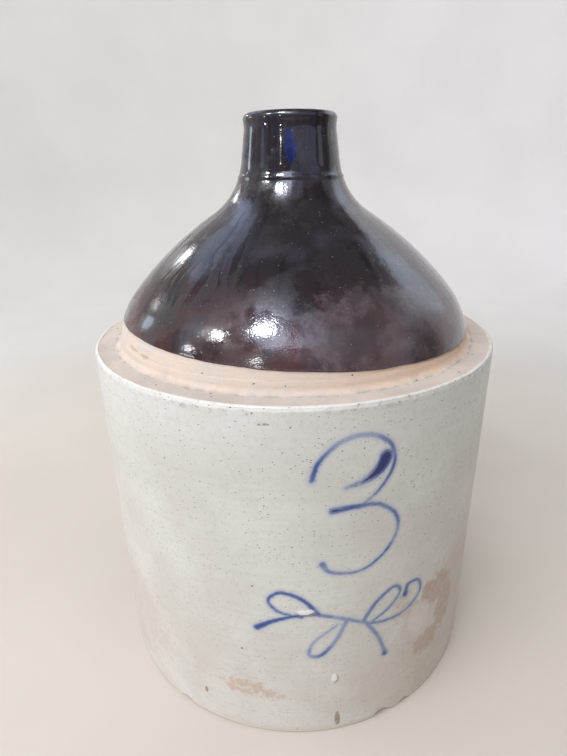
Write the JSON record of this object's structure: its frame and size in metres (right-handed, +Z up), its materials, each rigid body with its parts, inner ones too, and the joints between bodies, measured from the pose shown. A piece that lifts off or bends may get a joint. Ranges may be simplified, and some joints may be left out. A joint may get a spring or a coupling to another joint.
{
  "type": "stoneware shoulder jug",
  "caption": "Stoneware shoulder jug: straight white-glazed crock with a stacking ledge, brown-glazed dome, narrow corked mouth and a strap handle at the back.",
  "frame": {"origin": "centre of the foot, on the plane the jug stands on", "axes": "+Z up along the middle of the jug, -Y towards the painted front, +Y towards the handle"},
  "size_m": [0.264, 0.264, 0.361],
  "materials": {
    "bare_clay": "matte",
    "brown_glaze": "gloss",
    "white_glaze": "satin",
    "brown_lining": "gloss"
  },
  "bodies": {
    "root": {"crock_floor": "bare_clay", "crock_wall": "bare_clay", "floor_luting_coil": "bare_clay", "shoulder_dome": "bare_clay", "dome_luting_ring": "bare_clay", "neck_collar": "bare_clay", "neck_luting_ring": "bare_clay", "strap_handle": "brown_glaze", "handle_upper_lute": "brown_glaze", "handle_lower_lute": "brown_glaze", "brown_glaze_coat": "brown_glaze", "white_glaze_coat": "white_glaze", "slip_lining": "brown_lining"}
  },
  "joints": []
}
